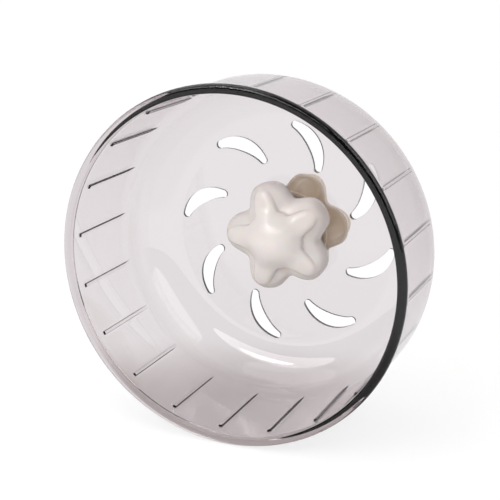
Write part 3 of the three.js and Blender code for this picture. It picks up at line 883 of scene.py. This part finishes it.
def ballCopies(name, radius, middle, detail):
    bm = bmesh.new()
    bmesh.ops.create_icosphere(bm, subdivisions=detail, radius=radius * mm)
    bmesh.ops.translate(bm, verts=bm.verts, vec=at(bearing["pitch"], 0, middle))
    return useTree(link(name, finishMesh(name, bm)), aroundAxle, {"Count": bearing["balls"]})


def makeBearing(label, front):
    b = bearing
    back, middle = front + b["width"], front + b["width"] / 2
    spread = math.degrees(math.acos(b["land"] / b["groove"]))
    outerLand, innerLand = b["pitch"] + b["land"], b["pitch"] - b["land"]
    seat = outerLand + b["shieldStep"]
    notch = b["recess"] + b["shield"] + b["seatGap"]
    turn = b["chamfer"]
    race = b["groove"]
    outer = arc((b["outside"] - turn, front + turn), turn, 270, 360, 3)
    outer += arc((b["outside"] - turn, back - turn), turn, 0, 90, 3)
    outer += [(seat, back), (seat, back - notch), (outerLand, back - notch)]
    outer += arc((b["pitch"], middle), race, spread, -spread, 10)
    outer += [(outerLand, front + notch), (seat, front + notch), (seat, front)]
    inner = arc((b["bore"] + turn, front + turn), turn, 180, 270, 3) + [(innerLand, front)]
    inner += arc((b["pitch"], middle), race, 180 + spread, 180 - spread, 10) + [(innerLand, back)]
    inner += arc((b["bore"] + turn, back - turn), turn, 90, 180, 3)
    lathe(f"{label}OuterRing", outer, "ballSteel", f"{label}_bearing_outer_ring")
    lathe(f"{label}InnerRing", inner, "ballSteel", f"{label}_bearing_inner_ring")
    for side, depth in (("front", front + b["recess"]), ("rear", back - b["recess"] - b["shield"])):
        section = rounded(innerLand + b["seatGap"], seat - b["seatGap"], depth, depth + b["shield"],
                          b["shieldRound"])
        lathe(f"{label}{side.title()}Shield", section, "zincSteel", f"{label}_bearing_{side}_shield")
    balls = ballCopies(f"{label}Balls", b["ball"], middle, 4)
    balls.data.shade_smooth()
    settle(balls, "ballSteel", *[f"{label}_bearing_ball_{i + 1}" for i in range(b["balls"])])
    low, high = front + b["cageFront"], back - b["recess"] - b["shield"] - b["seatGap"]
    section = rounded(innerLand + b["cageGap"], outerLand - b["cageGap"], low, high, b["cageRound"])
    cage = link(f"{label}Cage", finishMesh("cage", revolve(section, evenTurns(b["facets"]))))
    combine(cage, ballCopies("pockets", b["ball"] + b["pocketGap"], middle, 3), "DIFFERENCE")
    settle(smoothAll(cage, 40), "cageNylon", f"{label}_bearing_cage")


for label, front in bearing["fronts"].items():
    makeBearing(label, front)
print("bearings made")

# Axle bolt and what is threaded on it
axle = {"boltSeat": 58.2, "headHeight": 4.0, "length": 45.0, "thread": 2.7, "threadHeight": 0.42,
        "pitch": 1.0, "threadFrom": 62.2, "threadRows": 400, "neck": 0.3, "point": 0.5, "dishRadius": 3.2,
        "dishRim": 3.5, "dishDepth": 0.15, "collar": 4.85, "collarHeight": (0.2, 0.25), "hole": 3.0,
        "holeRound": 0.35, "turn": 0.2}
plate = {"front": 81.0, "back": 85.0, "floor": 83.5, "radius": 14.5, "turn": 0.8, "rim": 1.5,
         "holeRound": 0.3, "pocketRound": 0.2}
nuts = {"jamNut": ("jam_nut", "zincSteel", 80.0, 3.2), "knobNut": ("knob_nut", "brass", 92.1, 5.2)}
washers = {  # front, back and outer radius
    "headShim": ("head_shim", 58.5, 59.5, 4.6),
    "collarShim": ("collar_shim", 78.7, 79.7, 4.6),
    "innerSpacer": ("inner_spacer", 66.1, 72.1, 4.3),
    "clampWasher": ("clamp_washer", 90.0, 91.5, 12.5),
}


def hexRadius(acrossFlats, angle):
    return acrossFlats / 2 / math.cos(angle % math.radians(60) - math.radians(30))


def hexTurned(row, radius, depth, angle):  # a turned blank milled to six flats
    return min(radius, hexRadius(hexagon["acrossFlats"], angle))


def makeBolt():
    seat, corner, turn = axle["boltSeat"], hexCorner(hexagon["acrossFlats"]), hexagon["chamfer"]
    head, tip = seat - axle["headHeight"], seat + axle["length"]
    dish, collar, (low, high) = head + axle["dishDepth"], axle["collar"], axle["collarHeight"]
    thread, rows, point = axle["thread"], axle["threadRows"], axle["point"]
    step = (axle["length"] - axle["neck"] - point) / rows
    profile = [(0, dish), (axle["dishRadius"], dish), (axle["dishRim"], head), (corner - turn, head)]
    profile += [(corner, head + turn), (corner, seat - high), (collar, seat - low), (collar, seat)]
    profile += [(thread, seat)] + [(thread, seat + axle["neck"] + step * i) for i in range(rows + 1)]
    profile += [(thread - point, tip), (0, tip)]
    spiral = threadRadius(thread, axle["threadHeight"], axle["pitch"], axle["threadFrom"], tip - point)

    def radiusAt(row, radius, depth, angle):
        return hexTurned(row, radius, depth, angle) if depth <= seat else spiral(row, radius, depth, angle)

    bm = revolve(profile, evenTurns(36), radiusAt, closed=False)
    return settle(link("axleBolt", finishMesh("axleBolt", bm, 40)), "zincSteel", "axle_bolt")


def makeNut(name, node, finish, front, height):
    corner, turn, hole = hexCorner(hexagon["acrossFlats"]), hexagon["chamfer"], axle["hole"]
    back, bevel = front + height, axle["holeRound"]
    profile = [(corner - turn, front), (corner, front + turn), (corner, back - turn), (corner - turn, back)]
    profile += [(hole + bevel, back), (hole, back - bevel), (hole, front + bevel), (hole + bevel, front)]
    lathe(name, profile, finish, node, 72, hexTurned)


def makePlate():  # the inner half of the clamp, with a hexagonal pocket for the jam nut
    front, back, radius, turn = plate["front"], plate["back"], plate["radius"], plate["turn"]
    hole, bevel, step = axle["hole"], plate["holeRound"], plate["pocketRound"]
    across = hexagon["acrossFlats"] + hexagon["pocketGap"]
    corner = hexCorner(across)
    profile = [(corner + plate["rim"], front)] + arc((radius - turn, front + turn), turn, 270, 360, 5)
    profile += arc((radius - turn, back - turn), turn, 0, 90, 5) + [(hole + bevel, back)]
    profile += [(hole, back - bevel), (hole, plate["floor"])]
    pocket = len(profile)
    profile += [(corner, plate["floor"]), (corner, front + step), (corner + step, front)]

    def radiusAt(row, radius, depth, angle):
        return hexRadius(across + 2 * (radius - corner), angle) if row >= pocket else radius

    lathe("clampPlate", profile, "creamPlastic", "clamp_plate", 96, radiusAt)


makeBolt()
for name, (node, low, high, radius) in washers.items():
    lathe(name, rounded(axle["hole"], radius, low, high, axle["turn"]), "zincSteel", node)
for name, values in nuts.items():
    makeNut(name, *values)
makePlate()
print("axle made")

# Floor, world and lamps; a lamp's turns are seen from the wheel, right of the front and up, in degrees
studio = {
    "floorDrop": 0.00003,
    "floorRadius": 6.0,
    "floorShade": (0.85, 0.1, 0.3),  # lighting the wheel, seen through the plastic, seen by the camera
    "floorLight": ((0.35, 1.6), (1.03, 0.74)),  # two distances from the middle, and the light there
    "paintedShadowThroughGlass": ((0.085, 0.185), (0.62, 1.02)),  # two distances from the middle of the painted shadow, and the level seen there
    # The middle of a painted shadow on the floor under the wheel, which only rays through the plastic see,
    # and its warm painted tint
    "paintedShadowPoint": (0, -0.12),
    "paintedShadowTint": (1, 0.935, 0.925, 1),
    "skyLight": 0.7,
    "roomColour": (0.1, 0.085, 0.09, 1),
    "roomEdge": (-0.45, 0.1),
    "lampTarget": (0, -0.015, -0.06),
    "lamps": {
        "keyLamp": {"turns": (-21, 34), "distance": 1.0, "size": (0.98, 0.41), "radiance": 2.5},
        "keyCore": {"turns": (-18, 38), "distance": 0.98, "size": (0.4, 0.13), "radiance": 6.0},
        "sideLamp": {"turns": (60, 36), "distance": 1.0, "size": (0.76, 0.87), "radiance": 1.6},
        "topLamp": {"turns": (-70, 62), "distance": 1.2, "size": (1.46, 1.02), "radiance": 1.1},
    },
}


def seesBackground(tree):  # 1 for camera rays, and 1 for camera, glossy and transmission rays
    path = addNode(tree, "ShaderNodeLightPath").outputs
    reflected = mathNode(tree, "MAXIMUM", path["Is Glossy Ray"], path["Is Transmission Ray"])
    return path["Is Camera Ray"], mathNode(tree, "MAXIMUM", path["Is Camera Ray"], reflected)


def makeFloor():
    bm = bmesh.new()
    bmesh.ops.create_circle(bm, cap_ends=True, segments=96, radius=studio["floorRadius"])
    bmesh.ops.translate(bm, verts=bm.verts, vec=(0, 0, drumLow[2] - studio["floorDrop"]))
    floor = link("floor", finishMesh("floor", bm))
    material = bpy.data.materials.new("paleFloor")
    material.use_nodes = True
    tree = material.node_tree
    inView, seen = seesBackground(tree)
    fallen, through, shown = studio["floorShade"]
    shade = mathNode(tree, "MULTIPLY_ADD", seen, through - fallen, fallen)
    shade = mathNode(tree, "MULTIPLY_ADD", inView, shown - through, shade)
    # The light on the floor fades outwards; the lift brings what is seen of it up to white
    place = addNode(tree, "ShaderNodeTexCoord").outputs["Object"]
    reach = addNode(tree, "ShaderNodeVectorMath", {0: place}, operation="LENGTH")
    light = ramp(tree, reach.outputs["Value"], *studio["floorLight"])
    # Painted shadow: through the plastic the floor near the wheel is seen a little darker and warmer, a patch
    # painted into its glow
    shadowPoint = studio["paintedShadowPoint"] + (drumLow[2],)
    reach = addNode(tree, "ShaderNodeVectorMath", {0: place, 1: shadowPoint}, operation="DISTANCE")
    edges, (shadowLevel, farGoal) = studio["paintedShadowThroughGlass"]
    outside = ramp(tree, reach.outputs["Value"], edges, shape="SMOOTHSTEP")
    outside = mathNode(tree, "MAXIMUM", outside, inView)
    goal = mathNode(tree, "MULTIPLY_ADD", outside, farGoal - shadowLevel, shadowLevel)
    lift = mathNode(tree, "SUBTRACT", goal, mathNode(tree, "MULTIPLY", light, shade))
    fill(tree, tree.nodes["Principled BSDF"], {
        "Roughness": 0.9,
        "Specular IOR Level": 0.0,
        "Base Color": shade,
        "Emission Color": mixColours(tree, outside, studio["paintedShadowTint"], white),
        "Emission Strength": mathNode(tree, "MULTIPLY", seen, lift),
    })
    floor.data.materials.append(material)


def makeWorld():
    world = bpy.data.worlds.new("studio")
    bpy.context.scene.world = world
    world.use_nodes = True
    tree = world.node_tree
    inView, seen = seesBackground(tree)
    level = mathNode(tree, "MULTIPLY_ADD", seen, 1 - studio["skyLight"], studio["skyLight"])
    # The room behind the camera is dim, but only as the wheel mirrors it
    way = addNode(tree, "ShaderNodeTexCoord").outputs["Generated"]
    way = addNode(tree, "ShaderNodeSeparateXYZ", {0: way}).outputs["Y"]
    bright = ramp(tree, way, studio["roomEdge"], shape="SMOOTHSTEP")
    unmirrored = mathNode(tree, "MAXIMUM", mathNode(tree, "SUBTRACT", 1.0, seen), inView)
    room = mixColours(tree, mathNode(tree, "MAXIMUM", bright, unmirrored), studio["roomColour"], white)
    fill(tree, tree.nodes["Background"], {"Strength": level, "Color": room})


def makeLamps():
    target = Vector(studio["lampTarget"])
    for name, lamp in studio["lamps"].items():
        right, up = (math.radians(v) for v in lamp["turns"])
        towards = Vector((math.sin(right) * math.cos(up), -math.cos(right) * math.cos(up), math.sin(up)))
        light = bpy.data.lights.new(name, "AREA")
        light.shape = "ELLIPSE"
        light.size, light.size_y = lamp["size"]
        area = math.pi / 4 * light.size * light.size_y
        light.energy = lamp["radiance"] * math.pi * area
        holder = bpy.data.objects.new(name, light)
        holder.location = target + towards * lamp["distance"]
        holder.rotation_euler = (-towards).to_track_quat("-Z", "Y").to_euler()
        bpy.context.scene.collection.objects.link(holder)


makeFloor()
makeWorld()
makeLamps()
print("studio made")
